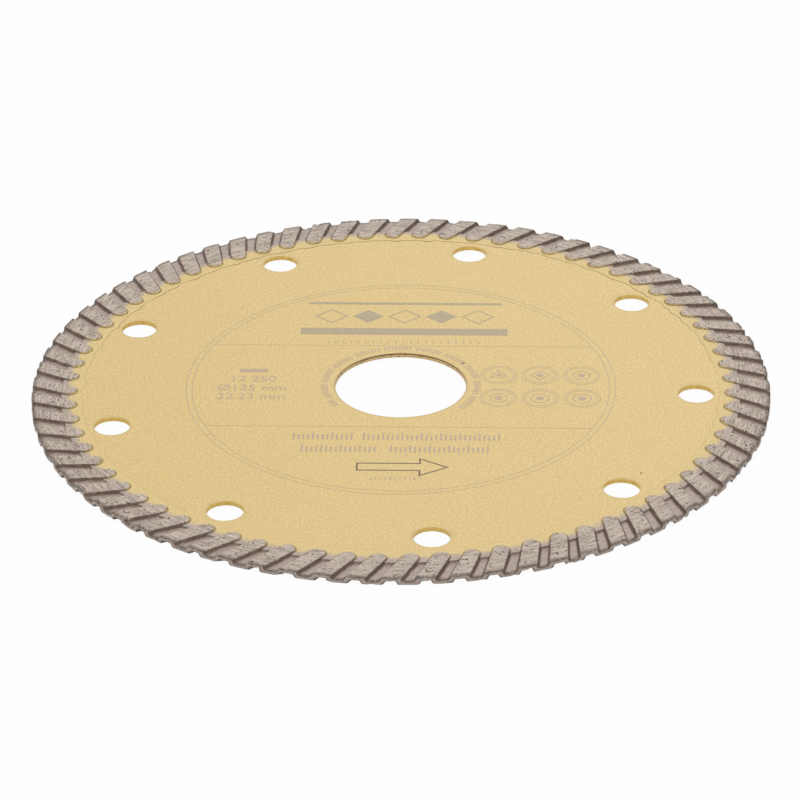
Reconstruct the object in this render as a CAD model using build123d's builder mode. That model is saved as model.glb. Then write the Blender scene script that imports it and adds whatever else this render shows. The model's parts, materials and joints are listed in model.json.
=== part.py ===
"""A 125 mm turbo-rim diamond blade for angle grinders, lying flat: +Z is the spindle axis.

The origin is the centre of the arbor bore, at mid-thickness.  Seen from +Z, +Y is the top of the
printed face and the ridges lean clockwise on their way out.  Sizes are millimetres and degrees.

Pieces: the steel core, the sintered turbo rim that clasps the core's edge, and the diamond
crystals that the rim's metal bond holds.
"""

from build123d import *
from math import cos, radians, sin, sqrt
import os

# ---------------------------------------------------------------- driving dimensions
blade_diameter = 125.0
bore_diameter = 22.23

core_thickness = 0.8
edge_break = 0.1                 # chamfer round the bore and the vent holes

vent_count = 9                   # cooling holes
vent_diameter = 6.0
vent_inset = 6.0                 # from the core's edge in to the circle that the holes lie on
first_vent_angle = -2.65

rim_thickness = 1.3
rim_height = 6.5                 # from the core's edge out to the blade's
collar_width = 1.5               # from the core's edge out to where the grooves begin
skirt_width = 2.1                # the thin skirt that the rim's press leaves over the core's edge
skirt_stand = 0.03               # how far the skirt stands above the core's face
land_depth = 0.05                # the core is this much thinner, each side, under the skirt

ridge_count = 72                 # on each face; the two faces are half a pitch apart
ridge_top_angle = 2.9            # width of a ridge's top, as an angle at the spindle axis
ridge_draft = 30.0               # slope of a ridge's sides, from the spindle axis
ridge_lean = 26.3                # how far a ridge leans off the radius
ridge_lap = 0.85                 # how far a ridge's round nose laps over the core's edge
first_ridge_angle = 1.25         # the first upper ridge, on the lean circle
lean_inset = 2.5                 # from the blade's edge in to the circle where the lean is taken

key_count = 36                   # notches in the core's edge that key the rim on
key_radius = 0.5

crystal_size = 0.42              # a diamond, across its corners
crystal_corners = 6
crystal_depth = 0.3              # how deep a diamond sits in the bond, its top ground flush
crystal_draft = 20.0             # a diamond narrows downwards by this slope
crystals_per_ridge = 2
crystal_inset = 1.3              # from the blade's edge in to the outermost diamond
crystal_spacing = 2.3            # from one diamond to the next, along the ridge
crystal_swing = 0.6              # diamonds stand this far off the ridge's middle, left and right by turns

# ---------------------------------------------------------------- derived values
outer_radius = blade_diameter / 2
core_edge_radius = outer_radius - rim_height
collar_radius = core_edge_radius + collar_width
skirt_radius = core_edge_radius - skirt_width
vent_radius = core_edge_radius - vent_inset
lean_radius = outer_radius - lean_inset
core_face = core_thickness / 2
land_face = core_face - land_depth
skirt_face = core_face + skirt_stand
rim_face = rim_thickness / 2
ridge_pitch = 360 / ridge_count
blank_run_out = 1.5              # a ridge's blank runs this far past the edge before it is trimmed


def along_ridge(radius):
    """How far out along a ridge's centreline that radius is, from the lean circle."""
    foot = lean_radius * cos(radians(ridge_lean))
    return sqrt(foot**2 + radius**2 - lean_radius**2) - foot


def ridge_half_width(radius):
    """Half the width of a ridge's top at that radius, square to the ridge."""
    return radius * sin(radians(ridge_top_angle / 2)) * cos(radians(ridge_lean))


os.makedirs("parts", exist_ok=True)

# ---------------------------------------------------------------- steel core
with BuildPart() as steel_core:
    with BuildSketch(Plane.XY.offset(-core_face)):
        Circle(skirt_radius)
    extrude(amount=core_thickness)
    with BuildSketch(Plane.XY.offset(-land_face)) as keyed_edge:
        Circle(core_edge_radius)
        with PolarLocations(core_edge_radius, key_count):
            Circle(key_radius, mode=Mode.SUBTRACT)
    extrude(amount=2 * land_face)
    with BuildSketch(Plane.XY.offset(-core_face)):
        Circle(bore_diameter / 2)
        with PolarLocations(vent_radius, vent_count, first_vent_angle):
            Circle(vent_diameter / 2)
    extrude(amount=core_thickness, mode=Mode.SUBTRACT)
    flat_faces = steel_core.faces().filter_by(Axis.Z).sort_by(Axis.Z)
    hole_rims = flat_faces[0].inner_wires().edges() + flat_faces[-1].inner_wires().edges()
    chamfer(hole_rims, edge_break)

steel_core.part.label = "steel_core"
export_step(steel_core.part, "parts/steel_core.step")

# ---------------------------------------------------------------- one ridge and its diamonds
# Its plane stands on the lean circle, with y out along the ridge.
first_point = Vector(lean_radius, 0, rim_face).rotate(Axis.Z, first_ridge_angle)
across = Vector(0, -1).rotate(Axis.Z, first_ridge_angle - ridge_lean)
ridge_top = Plane(origin=first_point, x_dir=across, z_dir=(0, 0, 1))

nose_tip = along_ridge(core_edge_radius - ridge_lap)
nose_radius = ridge_half_width(core_edge_radius)
blank_end = along_ridge(outer_radius + blank_run_out)
blank_half_width = ridge_half_width(outer_radius + blank_run_out)

with BuildPart() as upper_ridge:
    with BuildSketch(ridge_top):
        with BuildLine():
            left_side = Line((-blank_half_width, blank_end), (-nose_radius, nose_tip + nose_radius))
            nose = ThreePointArc(left_side @ 1, (0, nose_tip), (nose_radius, nose_tip + nose_radius))
            right_side = Line(nose @ 1, (blank_half_width, blank_end))
            Line(right_side @ 1, left_side @ 0)
        make_face()
    extrude(amount=-rim_face, taper=-ridge_draft)
    with BuildSketch():
        Circle(outer_radius)
    extrude(amount=rim_face, mode=Mode.INTERSECT)

crystal_places = [
    (crystal_swing * (-1) ** turn, along_ridge(outer_radius - crystal_inset) - turn * crystal_spacing)
    for turn in range(crystals_per_ridge)
]
with BuildPart() as upper_crystals:
    with BuildSketch(ridge_top):
        with Locations(*crystal_places):
            RegularPolygon(crystal_size / 2, crystal_corners)
    extrude(amount=-crystal_depth, taper=crystal_draft)

lower_ridge = mirror(upper_ridge.part, about=Plane.XY, mode=Mode.PRIVATE)
lower_crystals = mirror(upper_crystals.part, about=Plane.XY, mode=Mode.PRIVATE)

# ---------------------------------------------------------------- turbo rim
with BuildPart() as turbo_rim:
    with BuildSketch(Plane.XY.offset(-skirt_face)):
        Circle(collar_radius)
        Circle(skirt_radius, mode=Mode.SUBTRACT)
    extrude(amount=2 * skirt_face)
    with PolarLocations(0, ridge_count):
        add(upper_ridge.part)
    with PolarLocations(0, ridge_count, ridge_pitch / 2):
        add(lower_ridge)
    extrude(keyed_edge.sketch, amount=2 * land_face, mode=Mode.SUBTRACT)
    with PolarLocations(0, ridge_count):
        add(upper_crystals.part, mode=Mode.SUBTRACT)
    with PolarLocations(0, ridge_count, ridge_pitch / 2):
        add(lower_crystals, mode=Mode.SUBTRACT)

turbo_rim.part.label = "turbo_rim"
export_step(turbo_rim.part, "parts/turbo_rim.step")

# ---------------------------------------------------------------- diamonds
with BuildPart() as diamond_grit:
    with PolarLocations(0, ridge_count):
        add(upper_crystals.part)
    with PolarLocations(0, ridge_count, ridge_pitch / 2):
        add(lower_crystals)

diamond_grit.part.label = "diamond_grit"
export_step(diamond_grit.part, "parts/diamond_grit.step")
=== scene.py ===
"""Looks of a 125 mm turbo-rim diamond blade: lacquered core, ink, ground rim and grit.

Lengths are millimetres until put_mesh() scales them, and angles are degrees unless a name says otherwise.
The frame is the CAD model's: +Z is the spindle axis and +Y is the top of the print.
"""
import json
from math import cos, pi, radians, sin, sqrt

import bmesh
import bpy
import numpy as np
from mathutils import Matrix, Vector


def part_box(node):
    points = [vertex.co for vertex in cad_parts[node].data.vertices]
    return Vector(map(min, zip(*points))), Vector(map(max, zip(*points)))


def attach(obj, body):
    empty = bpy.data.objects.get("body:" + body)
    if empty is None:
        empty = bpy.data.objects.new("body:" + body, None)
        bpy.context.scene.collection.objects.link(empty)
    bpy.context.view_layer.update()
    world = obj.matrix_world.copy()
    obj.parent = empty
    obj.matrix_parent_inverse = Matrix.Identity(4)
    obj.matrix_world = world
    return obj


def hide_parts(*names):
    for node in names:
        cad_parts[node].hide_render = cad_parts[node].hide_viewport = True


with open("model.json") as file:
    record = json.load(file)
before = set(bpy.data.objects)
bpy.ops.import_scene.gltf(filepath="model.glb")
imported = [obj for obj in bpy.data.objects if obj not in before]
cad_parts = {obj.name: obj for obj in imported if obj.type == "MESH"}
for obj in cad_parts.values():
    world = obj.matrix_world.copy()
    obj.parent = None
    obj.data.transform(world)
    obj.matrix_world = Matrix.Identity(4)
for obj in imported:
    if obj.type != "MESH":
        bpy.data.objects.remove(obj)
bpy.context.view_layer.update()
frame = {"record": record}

MM = 0.001
RIM_SHARP, CORE_SHARP, GRIT_SHARP, INK_SHARP = 40, 50, 20, 30  # edges that turn by more than this stay sharp

# ---------------------------------------------------------------- sizes that the frame gives
OUTER_RADIUS = round(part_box("turbo_rim")[1].x / MM, 3)
RIM_FACE = round(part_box("turbo_rim")[1].z / MM, 3)
CORE_FACE = round(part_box("steel_core")[1].z / MM, 3)
BORE_RADIUS = frame["record"]["mounts"][0]["dims"]["r_mm"]

# ---------------------------------------------------------------- sizes shared with the CAD model
CORE_EDGE = OUTER_RADIUS - 6.5
COLLAR_EDGE = CORE_EDGE + 1.5    # where the grooves begin
SKIRT_EDGE = CORE_EDGE - 2.1     # the inner edge of the thin skirt over the core
SKIRT_FACE = CORE_FACE + 0.03
VENT_COUNT = 9
VENT_RADIUS = 3.0
VENT_CIRCLE = CORE_EDGE - 6.0    # the circle that the vent holes lie on
FIRST_VENT = -2.65
RIDGE_COUNT = 72
PITCH = 360 / RIDGE_COUNT
RIDGE_LEAN = 26.3                # how far a ridge leans off the radius
FIRST_RIDGE = 1.25               # the first upper ridge, on the lean circle
LEAN_CIRCLE = OUTER_RADIUS - 2.5
HALF_TOP_ANGLE = 1.45            # half the width of a ridge's top, as an angle at the spindle axis
RIDGE_LAP = 0.85                 # how far a ridge's nose laps over the core's edge
WALL_SLOPE = 1 / np.tan(radians(30.0))       # how far a ridge's wall drops for each mm outwards

# ---------------------------------------------------------------- random patterns
UPPER_SEED, LOWER_SEED = 125, 175            # one for each face of the rim; its patterns' seeds follow it
BAND_SEED, GRIT_SEED, SPOT_SEED = 132, 134, 136
# Sums of waves: how many, the shortest and the longest.
RAGGED, COARSE, SCALLOPED, ROUGH = (40, 0.35, 1.2), (24, 1.5, 6.0), (30, 2.2, 9.0), (30, 0.3, 1.0)


# ---------------------------------------------------------------- helpers
def waves(seed, count, shortest, longest):
    """A smooth random field of x and y, about -1 to 1: a sum of sine waves with random directions, with
    lengths spread between the shortest and the longest."""
    rng = np.random.default_rng(seed)
    length = np.exp(rng.uniform(np.log(shortest), np.log(longest), count))
    heading = rng.uniform(0, 2 * pi, count)
    phase = rng.uniform(0, 2 * pi, count)
    kx, ky = 2 * pi / length * np.cos(heading), 2 * pi / length * np.sin(heading)

    def field(x, y):
        turns = x[..., None] * kx + y[..., None] * ky + phase
        return np.sin(turns).sum(-1) / sqrt(count)

    return field


def smooth_step(low, high, x):
    """0 at low, 1 at high, and 3t^2 - 2t^3 between."""
    t = np.clip((x - low) / (high - low), 0, 1)
    return t * t * (3 - 2 * t)


def smooth_min(a, b, width):
    """The lower of a and b, with the corner between them rounded over that width."""
    h = np.clip(0.5 + 0.5 * (b - a) / width, 0, 1)
    return b + (a - b) * h - width * h * (1 - h)


def smooth_max(a, b, width):
    """The higher of a and b, rounded in the same way."""
    return -smooth_min(-a, -b, width)


def polar_points(radius, angle, height):
    """Points from radius, angle and height arrays that broadcast to one shape."""
    return np.stack([radius * np.cos(angle), radius * np.sin(angle), height + 0 * radius], -1)


def grid_triangles(index):
    """Two triangles for each cell of a 2D array of vertex numbers; those that have closed up are left out."""
    a, b, c, d = index[:-1, :-1], index[1:, :-1], index[1:, 1:], index[:-1, 1:]
    corners = np.stack([a, b, c, a, c, d], -1).reshape(-1, 3)
    first, second, third = corners.T
    return corners[(first != second) & (second != third) & (third != first)]


def ring_triangles(index):
    """grid_triangles of an array whose last column meets its first."""
    return grid_triangles(np.concatenate([index, index[:, :1]], 1))


def put_mesh(name, points, triangles, sharp_angle, attributes=None):
    """Makes an object from points in millimetres and triangles; unused points are dropped."""
    used, compact = np.unique(triangles, return_inverse=True)
    triangles = compact.reshape(-1, 3)
    points = points[used] * MM
    mesh = bpy.data.meshes.new(name)
    mesh.vertices.add(len(points))
    mesh.vertices.foreach_set("co", points.astype(np.float32).ravel())
    mesh.loops.add(triangles.size)
    mesh.loops.foreach_set("vertex_index", triangles.astype(np.int32).ravel())
    mesh.polygons.add(len(triangles))
    mesh.polygons.foreach_set("loop_start", np.arange(0, triangles.size, 3, dtype=np.int32))
    mesh.update(calc_edges=True)
    mesh.shade_smooth()
    mesh.set_sharp_from_angle(angle=radians(sharp_angle))
    for key, values in (attributes or {}).items():
        layer = mesh.attributes.new(key, "FLOAT", "POINT")
        layer.data.foreach_set("value", values[used].astype(np.float32))
    piece = bpy.data.objects.new(name, mesh)
    bpy.context.scene.collection.objects.link(piece)
    return piece


def finish_piece(piece, material, slot, *nodes):
    """Gives a piece its material, rides it on the one body, and hides the CAD nodes it replaces; slot is not
    used.
    """
    piece.data.materials.append(material)
    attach(piece, "root")
    if nodes:
        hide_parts(*nodes)


# ---------------------------------------------------------------- camera
CAMERA_DISTANCE = 661.82
CAMERA_ELEVATION = radians(29.282)
CAMERA_ROLL = radians(-0.511)
CAMERA_TURN = radians(1.95)
CAMERA_SLIDE = (-0.143, -2.587)  # to the right and up, in the plane that the camera faces
CAMERA_LENS, CAMERA_SENSOR = 175.5, 36.0
CAMERA_CLIP = (0.01, 50.0)       # metres


def make_camera():
    """A long lens that looks down at the printed face."""
    back = Vector((0, -cos(CAMERA_ELEVATION), sin(CAMERA_ELEVATION)))
    level, rise = Vector((1, 0, 0)), Vector((0, sin(CAMERA_ELEVATION), cos(CAMERA_ELEVATION)))
    right = cos(CAMERA_ROLL) * level + sin(CAMERA_ROLL) * rise
    up = cos(CAMERA_ROLL) * rise - sin(CAMERA_ROLL) * level
    place = back * CAMERA_DISTANCE + right * CAMERA_SLIDE[0] + up * CAMERA_SLIDE[1]
    pose = Matrix((right, up, back)).transposed().to_4x4()
    pose.translation = (place + Vector((0, 0, CORE_FACE))) * MM
    data = bpy.data.cameras.new("camera")
    data.lens, data.sensor_width = CAMERA_LENS, CAMERA_SENSOR
    data.clip_start, data.clip_end = CAMERA_CLIP
    camera = bpy.data.objects.new("camera", data)
    camera.matrix_world = Matrix.Rotation(CAMERA_TURN, 4, "Z") @ pose
    bpy.context.scene.collection.objects.link(camera)
    bpy.context.scene.camera = camera


# ---------------------------------------------------------------- rim: grid
# Across a ridge, from its middle: shares of the top's half width, then offsets from the top's edge.
TOP_SHARES = np.array([0.0, 0.5])
EDGE_OFFSETS = np.array([-0.14, -0.05, 0.0, 0.06, 0.17, 0.34, 0.46])
HALF_COLUMNS = len(TOP_SHARES) + len(EDGE_OFFSETS) - 1
GAP_COLUMNS = 8                  # from one ridge's foot to the next ridge's
COLUMNS = 2 * HALF_COLUMNS + GAP_COLUMNS
LOOP, GAP_LOOP = RIDGE_COUNT * COLUMNS, RIDGE_COUNT * GAP_COLUMNS  # points round the blade, and in gaps only
# Along a ridge: rows round its nose, then rows at these radii.
NOSE_ROWS = 7
SIDE_RADII = np.concatenate([
    COLLAR_EDGE + np.array([-0.1, -0.05, 0.0, 0.05, 0.12, 0.4]),
    OUTER_RADIUS - np.array([3.6, 2.6, 1.6, 0.9, 0.45, 0.2, 0.07, 0.0]),
])
ROWS = NOSE_ROWS + 1 + len(SIDE_RADII)
# How unevenly the ridges came out, as standard deviations.
NOSE_SPREAD = 0.07
WIDTH_SPREAD = 0.02              # a share of the width
ANGLE_SPREAD = 0.07


def half_width(radius):
    """Half the width of a ridge's top at that radius, square to the ridge."""
    return radius * sin(radians(HALF_TOP_ANGLE)) * cos(radians(RIDGE_LEAN))


def out_to_radius(radius, across):
    """How far along a ridge, from the lean circle, a point that lies that far across it reaches that radius:
    the root of y^2 + 2*foot*y + (lean circle^2 + x^2 + 2*side*x - radius^2) = 0."""
    foot, side = LEAN_CIRCLE * cos(radians(RIDGE_LEAN)), -LEAN_CIRCLE * sin(radians(RIDGE_LEAN))
    return np.sqrt(foot**2 - (LEAN_CIRCLE**2 + across**2 + 2 * side * across - radius**2)) - foot


def off_first_ridge(x, y):
    """Radius and angle, in radians, of points that lie x across and y along the first upper ridge."""
    lean = radians(FIRST_RIDGE - RIDGE_LEAN)
    east = LEAN_CIRCLE * cos(radians(FIRST_RIDGE)) + x * sin(lean) + y * cos(lean)
    north = LEAN_CIRCLE * sin(radians(FIRST_RIDGE)) - x * cos(lean) + y * sin(lean)
    return np.hypot(east, north), np.arctan2(north, east)


def ridge_plan(rng):
    """Where the grid's points lie in plan, as radius and angle, and how far each is outside its ridge's top.

    Rows run from the noses' tips out to the blade's edge.  Columns run across each ridge and then across the
    gap to the next.  A ridge's columns are lines offset from its outline: half circles round the nose, then
    lines along its sides.  Well inside a top the last value is -1, and in a gap it is 1."""
    ridges = np.arange(RIDGE_COUNT)[:, None, None]
    nose_shift = rng.normal(0, NOSE_SPREAD, (RIDGE_COUNT, 1, 1))
    width_share = rng.normal(1, WIDTH_SPREAD, (RIDGE_COUNT, 1, 1))
    angle_shift = rng.normal(0, ANGLE_SPREAD, (RIDGE_COUNT, 1, 1))
    nose_radius = half_width(CORE_EDGE)
    nose_middle = out_to_radius(CORE_EDGE - RIDGE_LAP, np.array(0.0)) + nose_radius

    steps = np.arange(-HALF_COLUMNS, HALF_COLUMNS + 1)
    side, step = np.sign(steps), np.abs(steps)
    share = np.concatenate([TOP_SHARES, np.ones(len(EDGE_OFFSETS))])[step]
    offset = np.concatenate([0 * TOP_SHARES, EDGE_OFFSETS])[step]
    # the rows start at the nose's innermost point, which the lean puts off the ridge's middle line
    lean_turn = radians(RIDGE_LEAN)
    turn = lean_turn + (side * pi / 2 - lean_turn) * np.linspace(0, 1, NOSE_ROWS + 1)[None, :, None]
    nose_reach = nose_radius * width_share * share + offset
    nose_x = nose_reach * np.sin(turn)
    nose_y = nose_middle + nose_shift - nose_reach * np.cos(turn)
    side_radius = SIDE_RADII[None, :, None]
    side_x = side * (half_width(side_radius) * width_share * share + offset)
    side_y = out_to_radius(side_radius, side_x)
    radius, angle = off_first_ridge(np.concatenate([nose_x, side_x], 1), np.concatenate([nose_y, side_y], 1))
    angle = angle + radians(PITCH) * ridges + np.radians(angle_shift)
    # x grows clockwise, so the columns are turned round to run anticlockwise
    radius, angle = radius[:, :, ::-1], angle[:, :, ::-1]
    outside = np.where(step < len(TOP_SHARES), -1.0, offset)[None, None, :] + np.zeros_like(radius)

    share_over = (np.arange(1, GAP_COLUMNS) / GAP_COLUMNS)[None, None, :]
    next_radius, next_angle = np.roll(radius[:, :, :1], -1, 0), np.roll(angle[:, :, :1], -1, 0)
    next_angle[-1] += 2 * pi
    gap_radius = radius[:, :, -1:] + (next_radius - radius[:, :, -1:]) * share_over
    gap_angle = angle[:, :, -1:] + (next_angle - angle[:, :, -1:]) * share_over
    plan = (
        np.concatenate([radius, gap_radius], 2),
        np.concatenate([angle, gap_angle], 2),
        np.concatenate([outside, np.full(gap_radius.shape, 1.0)], 2),
    )
    return [values.transpose(1, 0, 2).reshape(ROWS, LOOP) for values in plan]


def shared_numbers():
    """Vertex numbers of a face's grid, where the points that coincide share one: at the noses' tips the left
    columns are the right ones, and inside a nose the middle column is one point."""
    numbers = np.arange(ROWS * LOOP).reshape(ROWS, RIDGE_COUNT, COLUMNS)
    numbers[0, :, :HALF_COLUMNS] = numbers[0, :, 2 * HALF_COLUMNS:HALF_COLUMNS:-1]
    numbers[:NOSE_ROWS + 1, :, HALF_COLUMNS] = numbers[0, :, HALF_COLUMNS]
    return numbers.reshape(ROWS, LOOP)


def across_gaps(row):
    """Of a row round the blade, the columns from each ridge's foot to the next ridge's."""
    return row.reshape(RIDGE_COUNT, COLUMNS)[:, 2 * HALF_COLUMNS:].ravel()


# ---------------------------------------------------------------- rim: shape and finish of one face
EDGE_WANDER = 0.025              # how far a ridge's outline wanders,
EDGE_ZONE = (-0.2, 0.9)          # for points this far outside its top
STEP_WANDER = 0.03               # how far the collar's step wanders
STEP_RUN = 0.15                  # the collar's step comes down over this much radius
FLOOR_SWELL = 0.012              # how much the groove floors rise and fall
TOP_ROUND, FOOT_ROUND = 0.1, 0.06            # rounding at the tops and feet of the ridges' walls
EDGE_ROUND, EDGE_DROP = 0.2, 0.1             # this near to the blade's edge the faces fall away, by this much
CHIPS_PER_RIDGE = 3
CHIP_SPREAD = 0.35               # how far chips lie from the blade's edge, as a standard deviation
CHIP_SIZE = (0.15, 0.55)
CHIP_DEPTH = (0.05, 0.26)
CHIP_PULL, PULL_ZONE = 0.8, 0.3  # this near to the edge, a chip draws it in by that share of its depth

# Finish values.  The ranges are distances outside a ridge's top, unless they are said not to be.
TOP_ENDS = 0.02
WALL_STARTS = (0.0, 0.1)         # painted shade: a wall darkens over these from its top,
WALL_STAND = (0.01, 0.05)        # and over these heights above the ground
WALL_PALER, PALER_ZONE = 0.3, (0.12, 0.36)   # it is paler by this share towards its foot
STEP_SHADE = 0.65                # the collar's step has this share of a wall's painted shade,
NOSE_SHADE, NOSE_ZONE = 0.45, (0.36, 0.15)   # and the skirt round a nose this share
# a ragged dark outline, part chipping and part painted shade, along a top's edge over this range and along
# the blade's edge between these radii
OUTLINE_ZONE = (-0.03, 0.1)
OUTER_OUTLINE = (OUTER_RADIUS - 0.65, OUTER_RADIUS - 0.35)  # radii
# painted shade in the crease at the foot of a nose's wall: it rises over the first range and falls over the
# second
FOOT_STARTS, FOOT_ENDS = (0.08, 0.16), (0.32, 0.2)
SPRAY_FADE = (COLLAR_EDGE, COLLAR_EDGE - 2.5)               # radii
SPRAY_ON_WALLS = 0.8             # the overspray reaches this much further out on the walls,
SPRAY_WANDER = 0.25              # wanders by this much,
SPRAY_SHIFT = 0.25               # and reaches this much further at the top of the print
SPRAY_GROUND_OFF = 0.78          # this share of it is ground off the tops,
SPRAY_OFF_STEP = 0.9               # and this share is kept off the collar's step, which darkens it as painted shade


def chips(rng, radius, angle):
    """How deep the surface is chipped: round dents, each 1 - (distance/size)^2, along the blade's edge."""
    count = CHIPS_PER_RIDGE * RIDGE_COUNT
    place = rng.uniform(0, 2 * pi, count)
    reach = OUTER_RADIUS - np.abs(rng.normal(0, CHIP_SPREAD, count))
    size = rng.uniform(*CHIP_SIZE, count)
    depth = rng.uniform(*CHIP_DEPTH, count)
    dent = np.zeros_like(radius)
    for i in range(count):
        turn = (angle - place[i] + pi) % (2 * pi) - pi
        away = np.hypot(turn * reach[i], radius - reach[i])
        dent = np.maximum(dent, depth[i] * np.clip(1 - (away / size[i]) ** 2, 0, 1))
    return dent


def face_finish(radius, outside, step, stand, spray_wander):
    """The finish values of a face's points.

    wall is painted shade: 1 on a ridge's wall, paler towards its foot, and less on the collar's step and
    round a nose.  outline is 1 along the top's edge and the blade's: a dark line that is part chipping, part
    painted shade.  foot is painted shade, 1 at the foot of a nose's wall.  painted fades out from the skirt
    to the grooves, and is mostly gone from the ground tops."""
    off_ridge = np.where(outside > 0, 1, 0)
    ground_top = np.where(outside < TOP_ENDS, 1.0, 0.0)
    steep = smooth_step(*WALL_STARTS, outside) * smooth_step(*WALL_STAND, stand)
    shade = 1 - WALL_PALER * smooth_step(*PALER_ZONE, outside)
    step_wall = 4 * step * (1 - step) * off_ridge
    nose_foot = NOSE_SHADE * smooth_step(*NOSE_ZONE, outside) * (1 - step) * off_ridge
    outline = np.where((outside > OUTLINE_ZONE[0]) & (outside < OUTLINE_ZONE[1]), 1.0, 0.0)
    at_edge = smooth_step(*OUTER_OUTLINE, radius)
    sprayed = smooth_step(*SPRAY_FADE, radius - SPRAY_ON_WALLS * steep + spray_wander)
    return {
        "ground_top": ground_top,
        # painted shade on the walls, the collar's step and the skirt round each nose
        "wall": np.maximum(np.maximum(steep * shade, STEP_SHADE * step_wall), nose_foot),
        "painted": sprayed * (1 - SPRAY_GROUND_OFF * ground_top) * (1 - SPRAY_OFF_STEP * step_wall),
        "outline": np.maximum(outline, at_edge),
        # painted shade at the foot of a nose's wall
        "foot": smooth_step(*FOOT_STARTS, outside) * smooth_step(*FOOT_ENDS, outside) * (1 - step),
        "seam": np.zeros_like(radius),
    }


def rim_face(seed):
    """One face of the rim: radius, angle and height above the blade's middle, and its finish values.

    Height is the lower of the ground top and a wall of the draft's slope, measured from the top's edge, and
    then the higher of that and the ground: the skirt inside the collar's step, the groove floor outside."""
    rng = np.random.default_rng(seed)
    radius, angle, outside = ridge_plan(rng)
    x, y = radius * np.cos(angle), radius * np.sin(angle)
    ragged = waves(seed + 1, *RAGGED)(x, y)
    coarse = waves(seed + 2, *COARSE)(x, y)
    near_edge = (outside > EDGE_ZONE[0]) & (outside < EDGE_ZONE[1])
    outside = outside + np.where(near_edge, EDGE_WANDER * ragged, 0)

    step_radius = radius + STEP_WANDER * ragged
    step = smooth_step(COLLAR_EDGE - STEP_RUN / 2, COLLAR_EDGE + STEP_RUN / 2, step_radius)
    ground = SKIRT_FACE * (1 - step) + FLOOR_SWELL * coarse * step
    ridge = smooth_min(np.full_like(radius, RIM_FACE), RIM_FACE - WALL_SLOPE * outside, TOP_ROUND)
    height = smooth_max(ground, ridge, FOOT_ROUND)
    height = height - EDGE_DROP * np.clip((radius - OUTER_RADIUS + EDGE_ROUND) / EDGE_ROUND, 0, 1) ** 2
    dent = chips(rng, radius, angle)
    height = height - dent
    radius = radius - np.where(radius > OUTER_RADIUS - PULL_ZONE, CHIP_PULL * dent, 0)

    spray_wander = SPRAY_WANDER * coarse - SPRAY_SHIFT * np.sin(angle)
    return radius, angle, height, face_finish(radius, outside, step, height - ground, spray_wander)


# ---------------------------------------------------------------- rim: skirts, edge band and whole skin
SCALLOP = 0.24                   # how far the skirt's inner edge wanders in waves,
SCALLOP_GRAIN = 0.02             # and from point to point
SEAM_WIDTH = 0.14                # of the skirt's width: the dark fringe along its inner edge, part joint and part painted shade of its step
# Where the skirt's rows lie, from its inner edge to the tips; the fringe ends between the second and third.
SKIRT_SHARES = np.array([0.0, SEAM_WIDTH, 1.4 * SEAM_WIDTH, 0.25, 0.5, 0.75])[:, None]
SEAT_DEPTH = 0.005               # how far the skirt's inner edge and its seat lie under the core's face
SEAM_LEAST = 0.3                # the fringe's least strength, towards -Y, as a share of its full strength
SEAM_RISE = (0.0, 0.7)          # the fringe grows to full strength over these shares of the way to the print's top
BAND_SHARES = (0.34, 0.67)       # where the edge band's rows lie, from the upper face to the lower
BAND_ROUGHNESS = 0.02
BAND_STRETCH = 7                 # the band's grain is this much finer in height


def skirt_rows(seed, face_radius, face_angle):
    """The skirt in plan: rows from a wavy circle, with evenly spaced points, out to the noses' tips and the
    gaps between them."""
    rng = np.random.default_rng(seed)
    tip_radius, tip_angle = across_gaps(face_radius[0]), across_gaps(face_angle[0])
    even_angle = tip_angle[0] + np.arange(GAP_LOOP) * 2 * pi / GAP_LOOP
    scallops = waves(seed + 5, *SCALLOPED)
    wave = scallops(SKIRT_EDGE * np.cos(even_angle), SKIRT_EDGE * np.sin(even_angle))
    edge_radius = SKIRT_EDGE + SCALLOP * wave + rng.normal(0, SCALLOP_GRAIN, GAP_LOOP)
    row_radius = edge_radius + (tip_radius - edge_radius) * SKIRT_SHARES
    row_angle = even_angle + (tip_angle - even_angle) * SKIRT_SHARES
    return row_radius, row_angle


def skirt_points(row_radius, row_angle, side):
    """A skirt's rows as points, after a row for its hidden seat at the core's edge.  side is 1 or -1."""
    film = CORE_FACE - SEAT_DEPTH
    row_height = np.full((len(row_radius), 1), SKIRT_FACE)
    row_height[0] = film
    seat = polar_points(np.full(GAP_LOOP, CORE_EDGE), row_angle[0], np.full(GAP_LOOP, side * film))
    return np.concatenate([seat[None], polar_points(row_radius, row_angle, side * row_height)])


def edge_band(first, last):
    """The blade's edge: rows between the faces' outer rows, drawn in by the size of a random field of the
    way round and the height."""
    rough = waves(BAND_SEED, *ROUGH)
    band = first + (last - first) * np.array(BAND_SHARES)[:, None, None]
    around = np.arctan2(band[..., 1], band[..., 0]) * OUTER_RADIUS
    inwards = 1 - BAND_ROUGHNESS * np.abs(rough(around, BAND_STRETCH * band[..., 2])) / OUTER_RADIUS
    band[..., :2] *= inwards[..., None]
    return band


def seam_shade(chain):
    """How dark the skirts' fringes are at each point of the chain of both skirts' rows: part joint, part
    painted shade of the skirt's step, weaker towards -Y.  Of one skirt's rows, from its seat outwards, the
    two that bound the bevel are in the fringe."""
    fringe = np.zeros(len(chain) // 2)
    fringe[1:3] = 1.0
    fringe = np.concatenate([fringe[::-1], fringe])[:, None]
    toward_top = smooth_step(*SEAM_RISE, chain[..., 1] / SKIRT_EDGE)
    return fringe * (SEAM_LEAST + (1 - SEAM_LEAST) * toward_top)


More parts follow.
